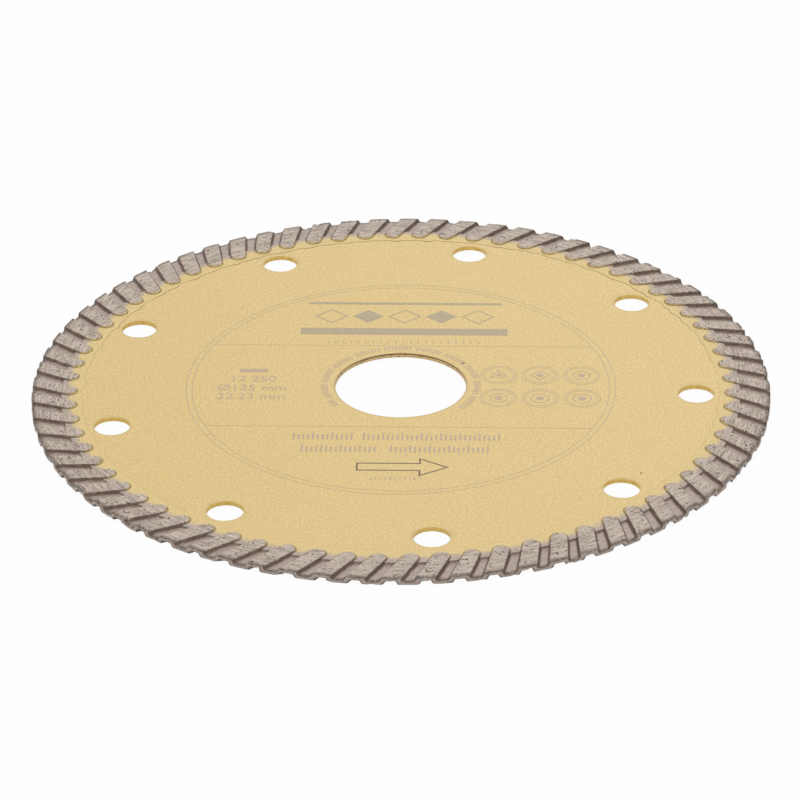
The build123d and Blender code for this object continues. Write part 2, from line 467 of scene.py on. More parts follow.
def make_rim():
    """The whole rim as one closed skin: upper face, edge band, lower face half a pitch round, and the skirts
    that clasp the core."""
    half_turn = radians(PITCH / 2)
    radius, angle, height, upper_finish = rim_face(UPPER_SEED)
    upper = polar_points(radius, angle, height)
    upper_skirt = skirt_points(*skirt_rows(UPPER_SEED, radius, angle), 1)
    radius, angle, height, lower_finish = rim_face(LOWER_SEED)
    lower = polar_points(radius, angle + half_turn, -height)
    skirt_radius, skirt_angle = skirt_rows(LOWER_SEED, radius, angle)
    lower_skirt = skirt_points(skirt_radius, skirt_angle + half_turn, -1)
    band = edge_band(upper[-1], np.roll(lower[-1], COLUMNS // 2, 0))
    chain = np.concatenate([np.roll(lower_skirt, GAP_COLUMNS // 2, 1)[::-1], upper_skirt])

    # the lower face is turned half a pitch, so its columns are rolled half a ridge to meet the upper's
    numbers = shared_numbers()
    lower_numbers = np.roll(numbers, COLUMNS // 2, 1) + numbers.size
    band_numbers = np.arange(band[..., 0].size).reshape(-1, LOOP) + 2 * numbers.size
    chain_numbers = np.arange(chain[..., 0].size).reshape(-1, GAP_LOOP) + 2 * numbers.size + band_numbers.size
    tips = across_gaps(numbers[0])[None]
    lower_tips = np.roll(tips, GAP_COLUMNS // 2, 1) + numbers.size
    body = np.concatenate([numbers, band_numbers, lower_numbers[::-1]])
    clasp = np.concatenate([lower_tips, chain_numbers, tips])
    triangles = np.concatenate([ring_triangles(body), ring_triangles(clasp)])
    points = np.concatenate([part.reshape(-1, 3) for part in (upper, lower, band, chain)])

    seam = seam_shade(chain)
    on_chain = {"painted": np.ones_like(seam), "seam": seam}
    attributes = {}
    for key, on_upper in upper_finish.items():
        on_skirts = on_chain.get(key, np.zeros_like(seam))
        values = (on_upper, lower_finish[key], np.zeros(band_numbers.size), on_skirts)
        attributes[key] = np.concatenate([part.ravel() for part in values])
    return put_mesh("rim", points, triangles, RIM_SHARP, attributes)


# ---------------------------------------------------------------- core
SECTOR_COLUMNS = 24              # points along a sector, of which there is one for each vent
CELL_SIDE_ROWS = 4
CELL_DEPTH = 4.6                 # the vents' cells run this far in and out from the vents' circle
CELL_SHARES = (0.07, 0.25, 0.6)  # where a cell's rings lie, from the hole to the cell's sides
EDGE_STEPS = ((0.0, 0.12), (0.012, 0.05), (0.05, 0.012), (0.12, 0.0))  # past the wall, below the face
WORN_WIDTH = 0.35                # how far from the bore the worn edge has faded out
HUB_RADII = (13, 17, 23, 30, 37)             # plain rings from there out to the vents' cells
EDGE_GAP = 0.02                  # the core's skin stops this far short of the edge that the rim covers
WORN_AT_BORE, WORN_AT_VENTS = 0.45, 0.12


def flat_rings(radii, angles, heights):
    """Circles of points about the spindle axis, a row for each radius."""
    return polar_points(radii[:, None] + 0 * angles, angles + 0 * radii[:, None], heights[:, None])


def cell_sides(start, sector, inner, outer):
    """For each vent, the points on the four sides of its cell, anticlockwise as seen from above."""
    across = np.arange(SECTOR_COLUMNS) / SECTOR_COLUMNS
    depth = np.arange(CELL_SIDE_ROWS) / CELL_SIDE_ROWS
    angle = np.concatenate([1 - across, 0 * depth, across, 1 + 0 * depth]) * sector
    radius = np.concatenate([0 * across, depth, 1 + 0 * across, 1 - depth]) * (outer - inner) + inner
    angle = angle[None] + start + sector * np.arange(VENT_COUNT)[:, None]
    return np.stack([radius * np.cos(angle), radius * np.sin(angle)], -1)


def vent_cells(side, sector, past, height):
    """Loops round each vent: circles up its rounded edge, then shares of the way from the hole's brink to the
    cell's sides.  A hole's points are evenly spaced, and start towards the cell's first corner."""
    middle_angle = radians(FIRST_VENT) + sector * np.arange(VENT_COUNT)
    middle = VENT_CIRCLE * np.stack([np.cos(middle_angle), np.sin(middle_angle)], -1)[:, None]
    count = side.shape[1]
    first = np.arctan2(*(side[:, 0] - middle[:, 0]).T[::-1])[:, None]
    heading = first + np.arange(count) * 2 * pi / count
    spoke = np.stack([np.cos(heading), np.sin(heading)], -1)
    brink = middle + spoke * (VENT_RADIUS + past[-1])
    flat = [middle + spoke * (VENT_RADIUS + reach) for reach in past]
    flat += [brink + (side - brink) * share for share in CELL_SHARES]
    heights = [*height] + [CORE_FACE] * len(CELL_SHARES)
    return np.stack([np.concatenate([loop, np.full((VENT_COUNT, count, 1), level)], -1)
                     for loop, level in zip(flat, heights)])


def by_sector(loop):
    """A loop of numbers as a row for each sector, which ends with the next sector's first."""
    rows = loop.reshape(VENT_COUNT, -1)
    return np.concatenate([rows, np.roll(rows[:, :1], -1, 0)], 1)


def make_core():
    """The core as a closed skin: round the bore an annulus, round each vent a cell whose loops run from the
    round hole to the cell's four sides, and a plain band out to the edge that the rim covers."""
    sector = 2 * pi / VENT_COUNT
    start = radians(FIRST_VENT) - sector / 2
    around = start + np.arange(VENT_COUNT * SECTOR_COLUMNS) * sector / SECTOR_COLUMNS
    inner, outer = VENT_CIRCLE - CELL_DEPTH, VENT_CIRCLE + CELL_DEPTH
    past, below = np.array(EDGE_STEPS).T
    height = CORE_FACE - below
    hub_radii = np.concatenate([BORE_RADIUS + past, [BORE_RADIUS + WORN_WIDTH, *HUB_RADII, inner]])
    hub_heights = np.concatenate([height, np.full(len(hub_radii) - len(height), CORE_FACE)])
    hub = flat_rings(hub_radii, around, hub_heights)
    brim = flat_rings(np.array([outer, CORE_EDGE - EDGE_GAP]), around, np.full(2, CORE_FACE))
    cells = vent_cells(cell_sides(start, sector, inner, outer), sector, past, height)
    # the stiles are the lines between neighbouring cells, from the hub to the brim
    stile_radius = inner + (outer - inner) * np.arange(1, CELL_SIDE_ROWS) / CELL_SIDE_ROWS
    stile_angle = start + sector * np.arange(VENT_COUNT)[:, None] + 0 * stile_radius
    stiles = polar_points(stile_radius + 0 * stile_angle, stile_angle, np.full(stile_angle.shape, CORE_FACE))

    parts = (hub, brim, cells, stiles)
    sizes = [part[..., 0].size for part in parts]
    starts = np.cumsum([0] + sizes)
    hub_numbers, brim_numbers, cell_numbers, stile_numbers = (
        np.arange(size).reshape(part.shape[:-1]) + first for part, size, first in zip(parts, sizes, starts))
    borders = np.concatenate([
        by_sector(hub_numbers[-1])[:, ::-1], stile_numbers,
        by_sector(brim_numbers[0]), np.roll(stile_numbers, -1, 0)[:, ::-1],
    ], 1)
    total = starts[-1]
    top = [ring_triangles(hub_numbers), ring_triangles(brim_numbers)]
    walls = [ring_triangles(np.stack([hub_numbers[0] + total, hub_numbers[0]])),
             ring_triangles(np.stack([brim_numbers[-1], brim_numbers[-1] + total]))]
    for i in range(VENT_COUNT):
        loops = np.concatenate([cell_numbers[:, i], borders[i][None]])
        top.append(ring_triangles(loops))
        walls.append(ring_triangles(np.stack([loops[0] + total, loops[0]])))
    top = np.concatenate(top)
    triangles = np.concatenate([top, top[:, ::-1] + total, *walls])
    points = np.concatenate([part.reshape(-1, 3) for part in parts])

    bare, vent, worn = np.zeros(total), np.zeros(total), np.zeros(total)
    bare[hub_numbers[:2].ravel()] = 1.0
    vent[cell_numbers[:2].ravel()] = 1.0
    worn[hub_numbers[1:len(past)].ravel()] = WORN_AT_BORE
    worn[cell_numbers[2:len(past)].ravel()] = WORN_AT_VENTS
    attributes = {"bare": np.tile(bare, 2), "vent_wall": np.tile(vent, 2), "worn": np.tile(worn, 2)}
    return put_mesh("core", np.concatenate([points, points * (1, 1, -1)]), triangles, CORE_SHARP, attributes)


# ---------------------------------------------------------------- grit
GRIT_PER_RIDGE = 10
GRIT_BAND = (CORE_EDGE + 0.2, OUTER_RADIUS - 0.35)
GRIT_SWING = 0.85                # crystals lie within this share of a ridge top's half width
GRIT_SIZE = (0.12, 0.27)         # a crystal's reach from its middle
GRIT_STRETCH = (0.75, 1.25)
GRIT_STAND = 0.05                # the most that a crystal stands above the ground top,
LEAST_STAND = 0.3                # and the least, as a share of that


def crystal_shape():
    """A cube with its corners cut to the middles of its edges, as points and triangles."""
    corners = [(a, b, 0) for a in (-1, 1) for b in (-1, 1)]
    points = np.array([np.roll(corner, turn) for turn in range(3) for corner in corners], float)
    mesh = bmesh.new()
    for point in points:
        mesh.verts.new(point)
    bmesh.ops.convex_hull(mesh, input=mesh.verts)
    bmesh.ops.triangulate(mesh, faces=mesh.faces)
    mesh.verts.index_update()
    triangles = np.array([[v.index for v in face.verts] for face in mesh.faces])
    points = np.array([v.co for v in mesh.verts])
    mesh.free()
    return points / sqrt(2), triangles


def random_turns(rng, count):
    """Rotation matrices from random unit quaternions."""
    quaternion = rng.normal(size=(count, 4))
    quaternion /= np.linalg.norm(quaternion, axis=1, keepdims=True)
    w, a, b, c = quaternion.T
    return np.stack([
        np.stack([1 - 2 * (b * b + c * c), 2 * (a * b - c * w), 2 * (a * c + b * w)], -1),
        np.stack([2 * (a * b + c * w), 1 - 2 * (a * a + c * c), 2 * (b * c - a * w)], -1),
        np.stack([2 * (a * c - b * w), 2 * (b * c + a * w), 1 - 2 * (a * a + b * b)], -1),
    ], 1)


def make_grit():
    """Crystals sunk in the ground tops of the ridges on both faces, each turned and stretched at random."""
    rng = np.random.default_rng(GRIT_SEED)
    shape, faces = crystal_shape()
    ridge = np.repeat(np.arange(2 * RIDGE_COUNT), GRIT_PER_RIDGE)
    count = len(ridge)
    side = np.where(ridge < RIDGE_COUNT, 1, -1)
    radius = rng.uniform(*GRIT_BAND, count)
    x = rng.uniform(-GRIT_SWING, GRIT_SWING, count) * half_width(radius)
    on_first = off_first_ridge(x, out_to_radius(radius, x))[1]
    angle = on_first + np.radians(PITCH) * (ridge + np.where(side > 0, 0, 0.5))
    middle = polar_points(radius, angle, side * RIM_FACE)

    turns = random_turns(rng, count)
    reach = rng.uniform(*GRIT_SIZE, (count, 1, 1)) * rng.uniform(*GRIT_STRETCH, (count, 1, 3))
    points = (shape[None] * reach) @ turns.transpose(0, 2, 1)
    stand = rng.uniform(LEAST_STAND, 1.0, count) * GRIT_STAND
    highest = (points[..., 2] * side[:, None]).max(1)
    points += middle[:, None]
    points[..., 2] += (side * (stand - highest))[:, None]
    triangles = faces[None] + (np.arange(count) * len(shape))[:, None, None]
    return put_mesh("grit", points.reshape(-1, 3), triangles.reshape(-1, 3), GRIT_SHARP)


# ---------------------------------------------------------------- print: flat shapes
INK_STAND = 0.012                # how far the ink stands above the lacquer
INK_FOOT = 0.002                 # how far it reaches into it
LETTER_CURVES = 3                # steps in each curve of a letter
TICK_GROUP = 9                   # of a ring's ticks, the last of each group is left out


def arc(middle, radius, start, end, count):
    """Points of an arc, anticlockwise from start to end."""
    turn = np.radians(np.linspace(start, end, count))
    return np.stack([middle[0] + radius * np.cos(turn), middle[1] + radius * np.sin(turn)], -1)


def regular(middle, radius, sides, start=90.0):
    """The corners of a regular polygon."""
    return arc(middle, radius, start, start + 360 * (1 - 1 / sides), sides)


def stroke(line, width, closed=True):
    """A strip along a line: each point goes half a width to both sides, along the mitre of its two runs,
    which is the sum of their unit normals divided by 1 + their dot product."""
    line = np.asarray(line, float)
    ahead = np.roll(line, -1, 0) - line
    if not closed:
        ahead[-1] = ahead[-2]
    normal = np.stack([-ahead[:, 1], ahead[:, 0]], -1) / np.linalg.norm(ahead, axis=1, keepdims=True)
    before = np.roll(normal, 1, 0)
    if not closed:
        before[0] = normal[0]
    mitre = (normal + before) / (1 + (normal * before).sum(1, keepdims=True)) * width / 2
    numbers = np.arange(2 * len(line)).reshape(2, -1)
    triangles = ring_triangles(numbers) if closed else grid_triangles(numbers)
    return np.concatenate([line + mitre, line - mitre]), triangles


def plate(outline):
    """A filled outline, as a fan about its middle."""
    outline = np.asarray(outline, float)
    count = len(outline)
    around = np.arange(count)
    fan = np.stack([around, (around + 1) % count, 0 * around + count], -1)
    return np.concatenate([outline, outline.mean(0)[None]]), fan


def bar(left, right, low, high):
    """A filled rectangle."""
    return plate([(left, low), (right, low), (right, high), (left, high)])


def ticks(places, low, high, width):
    """A row of upright marks, centred on the places; high is one height, or one for every place."""
    tops = np.broadcast_to(high, len(places))
    return [bar(x - width / 2, x + width / 2, low, top) for x, top in zip(places, tops)]


def radial_ticks(start, end, pitch, inner, outer, width):
    """Marks on a ring, pointing outwards, in groups."""
    marks = []
    for i, turn in enumerate(np.radians(np.arange(start, end, pitch))):
        if (i + 1) % TICK_GROUP:
            along = np.array([cos(turn), sin(turn)])
            marks.append(stroke([along * inner, along * outer], width, closed=False))
    return marks


def figures(text, height, x, y):
    """Numbers in the plain built-in face, as flat triangles centred at x, y."""
    curve = bpy.data.curves.new("figures", "FONT")
    curve.body, curve.size, curve.align_x, curve.align_y = text, height, "CENTER", "CENTER"
    curve.resolution_u = LETTER_CURVES
    holder = bpy.data.objects.new("figures", curve)
    mesh = bpy.data.meshes.new_from_object(holder)
    mesh.calc_loop_triangles()
    points = np.zeros(3 * len(mesh.vertices))
    mesh.vertices.foreach_get("co", points)
    triangles = np.zeros(3 * len(mesh.loop_triangles), int)
    mesh.loop_triangles.foreach_get("vertices", triangles)
    bpy.data.objects.remove(holder)
    bpy.data.meshes.remove(mesh)
    bpy.data.curves.remove(curve)
    points, triangles = points.reshape(-1, 3)[:, :2] + (x, y), triangles.reshape(-1, 3)
    corner, second, third = points[triangles].transpose(1, 0, 2)
    (ax, ay), (bx, by) = (second - corner).T, (third - corner).T
    clockwise = ax * by < ay * bx
    triangles[clockwise] = triangles[clockwise, ::-1]
    return points, triangles


def ink_slab(name, shapes):
    """Flat shapes made one closed mesh: a copy on top, a turned copy below, and a wall on each triangle side
    that no other triangle shares."""
    starts = np.cumsum([0] + [len(points) for points, _ in shapes])
    flat = np.concatenate([points for points, _ in shapes])
    top = np.concatenate([triangles + start for (_, triangles), start in zip(shapes, starts)])
    count = len(flat)
    sides = np.concatenate([top[:, [0, 1]], top[:, [1, 2]], top[:, [2, 0]]])
    alone = ~np.isin(sides[:, 0] * count + sides[:, 1], sides[:, 1] * count + sides[:, 0])
    a, b = sides[alone].T
    walls = np.concatenate([np.stack([a + count, b + count, b], -1), np.stack([a + count, b, a], -1)])
    high = np.column_stack([flat, np.full(count, CORE_FACE + INK_STAND)])
    low = np.column_stack([flat, np.full(count, CORE_FACE - INK_FOOT)])
    triangles = np.concatenate([top, top[:, ::-1] + count, walls])
    return put_mesh(name, np.concatenate([high, low]), triangles, INK_SHARP)


# ---------------------------------------------------------------- print: what is printed
FINE_LINE, PLAIN_LINE, BOLD_LINE = 0.13, 0.2, 0.27

RING_RADII, RING_POINTS = (36.4, 35.4), 240
CHORD_HEIGHTS = (13.85, -14.45)
ROUNDEL_PLACES = [(x, y) for y in (3.7, -4.3) for x in (16.6, 23.6, 30.7)]
ROUNDEL_RADII, ROUNDEL_POINTS = (3.1, 2.6), 40
FIGURE_RADIUS = 1.6
FIGURE_CORE = 0.45 * FIGURE_RADIUS
SIZES_PLACE = -25.2
SIZES = (("12 250", 1.6), ("\u00d8125 mm", -1.5), ("22.23 mm", -4.5))
LETTER_HEIGHT = 2.9
CAPTION_BAR = (SIZES_PLACE - 2.4, SIZES_PLACE + 2.4, 4.0, 5.2)

BAND_BARS = ((-17.0, 17.0, 29.0, 29.8), (-18.0, 18.0, 17.8, 20.2))
LOZENGE_COUNT, LOZENGE_PITCH = 5, 6.4
LOZENGE_MIDDLE, LOZENGE_REACH, LOZENGE_RISE = 24.6, 2.7, 2.4

# Rows of ticks: first place, end and pitch, then low and high.
HEAD_ROW, HEAD_HEIGHTS = (-13.0, 13.5, 1.3), (14.7, 15.8)
FOOT_ROW, FOOT_HEIGHTS = (-4.0, 4.1, 0.8), (-31.8, -30.9)
# Scales: left, right and low.
SCALE_ROWS = ((-17.25, -7.6, -18.85), (-5.6, 17.25, -18.85), (-15.7, -3.0, -22.9), (-1.0, 15.7, -22.9))
SCALE_PITCH, SCALE_LINE = 0.8, 0.34
TALL_TICK, SHORT_TICK, TALL_EVERY = 2.35, 1.75, 4
SLACK = 0.1                      # added to a scale's right end, so that its last tick isn't lost
BORE_RING, BORE_RING_RADII = (-37.0, 216.0, 2.7), (12.4, 13.6)  # first angle, end and pitch

# The direction arrow's outline.
ARROW = (
    (-6.4, -28.75), (3.9, -28.75), (3.9, -30.4), (8.4, -27.65), (3.9, -25.0), (3.9, -26.5), (-6.4, -26.5),
)

LARGE_SPOTS, LARGE_SPOT_SIZE = [(10.4, 7.75), (40.0, -29.0)], 0.22
SPOT_COUNT, SPOT_BAND, SPOT_SIZE = 16, (15, 52), (0.06, 0.11)
SPOT_SIDES, SPOT_RAGGED = 7, (0.7, 1.3)


def make_print():
    """The double ring and its chords, the roundels with plain figures, and the blade's sizes."""
    last = 360 * (1 - 1 / RING_POINTS)
    shapes = [stroke(arc((0, 0), radius, 0, last, RING_POINTS), FINE_LINE) for radius in RING_RADII]
    for y in CHORD_HEIGHTS:
        reach = sqrt(min(RING_RADII) ** 2 - y**2)
        shapes.append(bar(-reach, reach, y - FINE_LINE / 2, y + FINE_LINE / 2))
    for sides, place in enumerate(ROUNDEL_PLACES, 3):
        shapes += [stroke(regular(place, radius, ROUNDEL_POINTS), FINE_LINE) for radius in ROUNDEL_RADII]
        shapes.append(stroke(regular(place, FIGURE_RADIUS, sides), PLAIN_LINE))
        shapes.append(plate(regular(place, FIGURE_CORE, sides)))
    shapes += [figures(text, LETTER_HEIGHT, SIZES_PLACE, y) for text, y in SIZES]
    shapes.append(bar(*CAPTION_BAR))
    return shapes


def make_scales():
    """Plain scales where small lettering would sit: rows of ticks, and a ring of ticks about the bore."""
    shapes = ticks(np.arange(*HEAD_ROW), *HEAD_HEIGHTS, PLAIN_LINE)
    for left, right, low in SCALE_ROWS:
        places = np.arange(left, right + SLACK, SCALE_PITCH)
        tall = np.arange(len(places)) % TALL_EVERY == 0
        shapes += ticks(places, low, low + np.where(tall, TALL_TICK, SHORT_TICK), SCALE_LINE)
    shapes += ticks(np.arange(*FOOT_ROW), *FOOT_HEIGHTS, PLAIN_LINE)
    return shapes + radial_ticks(*BORE_RING, *BORE_RING_RADII, BOLD_LINE)


def make_band():
    """Plain figures where a maker's panel would sit: five lozenges between two bars."""
    shapes = [bar(*sides) for sides in BAND_BARS]
    low, high = LOZENGE_MIDDLE - LOZENGE_RISE, LOZENGE_MIDDLE + LOZENGE_RISE
    for number in range(LOZENGE_COUNT):
        x = LOZENGE_PITCH * (number - LOZENGE_COUNT // 2)
        left, right = x - LOZENGE_REACH, x + LOZENGE_REACH
        lozenge = [(left, LOZENGE_MIDDLE), (x, low), (right, LOZENGE_MIDDLE), (x, high)]
        shapes.append(plate(lozenge) if number % 2 else stroke(lozenge, BOLD_LINE))
    return shapes


def make_spots():
    """Specks of dark dust caught in the lacquer: flat blots with ragged corners, the first ones larger."""
    rng = np.random.default_rng(SPOT_SEED)
    turn, reach = rng.uniform(0, 2 * pi, SPOT_COUNT), rng.uniform(*SPOT_BAND, SPOT_COUNT)
    places = LARGE_SPOTS + list(np.stack([reach * np.cos(turn), reach * np.sin(turn)], -1))
    shapes = []
    for number, place in enumerate(places):
        size = LARGE_SPOT_SIZE if number < len(LARGE_SPOTS) else rng.uniform(*SPOT_SIZE)
        blot = regular((0, 0), size, SPOT_SIDES) * rng.uniform(*SPOT_RAGGED, (SPOT_SIDES, 1))
        shapes.append(plate(blot + place))
    return shapes


# ---------------------------------------------------------------- materials: tones and patterns
def tone(red, green, blue):
    """A colour given as 0 to 255, as the shaders' linear light."""
    share = np.array([red, green, blue]) / 255
    light = np.where(share <= 0.04045, share / 12.92, ((share + 0.055) / 1.055) ** 2.4)
    return (*light.tolist(), 1.0)


GOLD = tone(223, 193, 123)
GOLD_WARM = tone(222, 191, 122)
GOLD_DARK_GRAIN = tone(192, 162, 98)
GOLD_LIGHT_GRAIN = tone(238, 214, 152)
GOLD_PALE = tone(232, 212, 164)
# the lacquer on the vents' walls, deeper and more saturated: painted shade
GOLD_DEEP = tone(236, 200, 112)
VENT_SHADE = tone(214, 178, 84)
# the lacquer on the ridges' walls, deeper yellow to dark olive: painted shade
GOLD_WALL_SHADE = tone(230, 198, 70)
GOLD_WALL_DEEP_SHADE = tone(124, 96, 40)
BOND_TOP = tone(202, 186, 172)
BOND_TOP_DARK = tone(122, 104, 92)
BOND_TOP_LIGHT = tone(228, 214, 200)
BOND_FLOOR = tone(190, 175, 165)
BOND_FLOOR_DARK = tone(166, 149, 138)
# the bond on the ridges' walls, darkened: painted shade
BOND_WALL_SHADE = tone(104, 75, 56)
BOND_WALL_DEEP_SHADE = tone(74, 50, 38)
PORE = tone(46, 40, 36)
# the ragged outline's colour: part chipping, part painted shade
OUTLINE_CHIPS_AND_SHADE = tone(84, 72, 62)
# painted shade in the crease at a nose's foot
FOOT_CREASE_SHADE = tone(72, 52, 26)
# the seam's colour: part joint, part painted shade
SEAM_JOINT_AND_SHADE = tone(84, 42, 6)
BORE_DARK = tone(98, 76, 42)
BORE_TAN = tone(216, 184, 124)
WORN_EDGE = tone(138, 114, 84)
GRIT_DARK = tone(30, 25, 22)
GRIT_LIGHT = tone(62, 53, 46)
INK_PALE = (tone(196, 170, 136), tone(178, 152, 124))
INK_BAND = (tone(180, 163, 124), tone(166, 149, 112))
INK_DARK = (tone(60, 38, 20), tone(86, 58, 32))
SPOT = (tone(60, 42, 26), tone(84, 60, 36))

# Noise patterns: scale, in features per metre, then detail and roughness.
LACQUER_GRAIN = (4200.0, 2.0, 0.7)
FLAKES = (2600.0, 1.0, 0.6)
CLOUDS = (60.0, 2.0, 0.5)
BORE_STREAKS = (1500.0, 2.0, 0.6)
MOTTLE = (1500.0, 4.0, 0.65)
PORES = (2000.0, 1.0, 0.5)
PITS = (3600.0, 1.0, 0.5)
GRIT_TINT = (900.0, 1.0, 0.5)
INK_GRAIN = (3200.0, 2.0, 0.6)
# Grinding lines: features per metre of radius and per radian round, then scale, detail and roughness.
LINES_ROUND, LINES = (4600.0, 17.0), (1.0, 3.0, 0.65)
FINE_LINES_ROUND, FINE_LINES = (9000.0, 24.0), (1.0, 1.0, 0.5)

# The bore's dark lip fades in between these heights, and comes to its full strength between these y.
LIP_HEIGHTS = (0.05 * CORE_FACE * MM, 0.6 * CORE_FACE * MM)
LIP_SIDES = (0.2 * BORE_RADIUS * MM, 0.9 * BORE_RADIUS * MM)
SPRAY_PALER = 0.25               # how far the overspray's gold is towards the pale one
LINE_RELIEF = 0.7                # the lines' share of the bond's relief, next to the mottle's
GOLD_BUMP, BOND_BUMP = (0.3, 0.00002), (0.6, 0.00005)       # strength, and distance in metres


class Shader:
    """A material's node tree, with short calls for the nodes that this blade's finishes use."""

    def __init__(self, name):
        self.material = bpy.data.materials.new(name)
        self.material.use_nodes = True
        self.tree = self.material.node_tree
        self.tree.nodes.clear()
        self.output = self.tree.nodes.new("ShaderNodeOutputMaterial")
        self.place = self.tree.nodes.new("ShaderNodeTexCoord").outputs["Object"]

    def put(self, value, socket):
        """Links a socket to an input; anything else is set as its value."""
        if isinstance(value, bpy.types.NodeSocket):
            self.tree.links.new(value, socket)
        else:
            socket.default_value = value

    def node(self, kind, settings=None, **inputs):
        """A node with its settings, and its inputs by name, or by number after an i."""
        made = self.tree.nodes.new("ShaderNode" + kind)
        for key, value in (settings or {}).items():
            setattr(made, key, value)
        for key, value in inputs.items():
            by_number = key[0] == "i" and key[1:].isdigit()
            self.put(value, made.inputs[int(key[1:]) if by_number else key])
        return made

    def math(self, operation, a, b):
        """A sum or product of two numbers."""
        return self.node("Math", {"operation": operation}, i0=a, i1=b).outputs[0]

    def attribute(self, name):
        """A finish value of the mesh."""
        return self.node("Attribute", {"attribute_name": name}).outputs["Fac"]

    def noise(self, vector, scale, detail, roughness):
        """A noise pattern, about 0.3 to 0.7."""
        made = self.node("TexNoise", Vector=vector, Scale=scale, Detail=detail, Roughness=roughness)
        return made.outputs["Fac"]

    def ramp(self, value, low, high, start=0.0, end=1.0):
        """A straight ramp from start at low to end at high."""
        made = self.node("MapRange", {"clamp": True}, Value=value)
        for key, number in (("From Min", low), ("From Max", high), ("To Min", start), ("To Max", end)):
            made.inputs[key].default_value = number
        return made.outputs["Result"]

    def mix(self, share, first, second):
        """first where share is 0, second where it is 1."""
        return self.node("Mix", {"data_type": "RGBA"}, Factor=share, i6=first, i7=second).outputs[2]

    def vector(self, operation, output, **inputs):
        """One output of a vector node."""
        return self.node("VectorMath", {"operation": operation}, **inputs).outputs[output]

    def polar(self, per_radius, per_turn):
        """Patterns that follow the blade round: a point on a circle of radius per_turn, lifted by per_radius
        times the distance from the spindle axis."""
        flat = self.vector("MULTIPLY", 0, i0=self.place, i1=(1, 1, 0))
        radius = self.vector("LENGTH", "Value", i0=flat)
        round_it = self.vector("NORMALIZE", 0, i0=flat)
        scaled = self.vector("SCALE", 0, i0=round_it, Scale=per_turn)
        height = self.math("MULTIPLY", radius, per_radius)
        lift = self.node("CombineXYZ", X=0.0, Y=0.0, Z=height).outputs[0]
        return self.vector("ADD", 0, i0=scaled, i1=lift)

    def bump(self, height, strength, distance):
        """Normals turned by a fine relief."""
        return self.node("Bump", Height=height, Strength=strength, Distance=distance).outputs["Normal"]

    def finish(self, **inputs):
        """Ends in a Principled surface; sockets' spaces are written as underscores."""
        surface = self.tree.nodes.new("ShaderNodeBsdfPrincipled")
        for key, value in inputs.items():
            self.put(value, surface.inputs[key.replace("_", " ")])
        self.tree.links.new(surface.outputs[0], self.output.inputs["Surface"])
        return self.material


# ---------------------------------------------------------------- materials: finishes
def gold_tone(s, grain):
    """The lacquer's colour: faint clouds, darker grain and lighter flakes."""
    flakes = s.noise(s.place, *FLAKES)
    cloud = s.noise(s.place, *CLOUDS)
    base = s.mix(s.ramp(cloud, 0.35, 0.65), GOLD, GOLD_WARM)
    base = s.mix(s.ramp(grain, 0.58, 0.34, 0.0, 0.6), base, GOLD_DARK_GRAIN)
    return s.mix(s.ramp(flakes, 0.48, 0.68, 0.0, 0.6), base, GOLD_LIGHT_GRAIN)


def bore_tone(s, streaks):
    """Tan steel down the bore, dark in streaks and in a lip under the face, strongest towards +Y."""
    parts = s.node("SeparateXYZ", Vector=s.place).outputs
    lip = s.math("MULTIPLY", s.ramp(parts["Z"], *LIP_HEIGHTS), s.ramp(parts["Y"], *LIP_SIDES, 0.5, 1.0))
    dark = s.math("ADD", lip, s.ramp(streaks, 0.54, 0.62, 0.0, 0.8))
    return s.mix(s.ramp(dark, 0.4, 0.9), BORE_TAN, BORE_DARK)


def gold_lacquer():
    """Satin gold lacquer with a fine grain: a deeper gold on the vents' walls as painted shade, worn at the
    holes' edges, bare down the bore."""
    s = Shader("gold_lacquer")
    grain = s.noise(s.place, *LACQUER_GRAIN)
    streaks = s.noise(s.place, *BORE_STREAKS)
    # the vents' walls take a deeper gold: painted shade
    vent_wall_shade = s.mix(s.ramp(streaks, 0.35, 0.65), GOLD_DEEP, VENT_SHADE)
    base = s.mix(s.attribute("vent_wall"), gold_tone(s, grain), vent_wall_shade)
    base = s.mix(s.attribute("bare"), base, bore_tone(s, streaks))
    base = s.mix(s.attribute("worn"), base, WORN_EDGE)
    return s.finish(Base_Color=base, Roughness=0.5, Metallic=0.1, Normal=s.bump(grain, *GOLD_BUMP))


def bond_tone(s, lines, mottle):
    """The bare bond's colour: ground tops with lines, pits and pores, mottled floors, walls darkened as
    painted shade, and a dark outline that is part chipping, part painted shade.
    """
    fine = s.noise(s.polar(*FINE_LINES_ROUND), *FINE_LINES)
    pores = s.noise(s.place, *PORES)
    pits = s.noise(s.place, *PITS)
    top = s.mix(s.ramp(lines, 0.5, 0.62, 0.0, 0.65), BOND_TOP, BOND_TOP_DARK)
    top = s.mix(s.ramp(lines, 0.48, 0.36, 0.0, 0.35), top, BOND_TOP_LIGHT)
    top = s.mix(s.ramp(fine, 0.5, 0.62, 0.0, 0.6), top, BOND_TOP_DARK)
    top = s.mix(s.ramp(pits, 0.3, 0.34, 0.7, 0.0), top, PORE)
    top = s.mix(s.ramp(pores, 0.31, 0.325, 1.0, 0.0), top, PORE)
    low = s.mix(s.ramp(mottle, 0.35, 0.65), BOND_FLOOR, BOND_FLOOR_DARK)
    # the walls darkened: painted shade
    wall_shade_tone = s.mix(s.ramp(mottle, 0.4, 0.6), BOND_WALL_SHADE, BOND_WALL_DEEP_SHADE)
    low = s.mix(s.attribute("wall"), low, wall_shade_tone)
    bond = s.mix(s.attribute("ground_top"), low, top)
    # the dark outline along the tops' and the blade's edges: part chipping, part painted shade
    ragged = s.math("MULTIPLY", s.attribute("outline"), s.ramp(mottle, 0.35, 0.55, 0.35, 0.9))
    return s.mix(ragged, bond, OUTLINE_CHIPS_AND_SHADE)


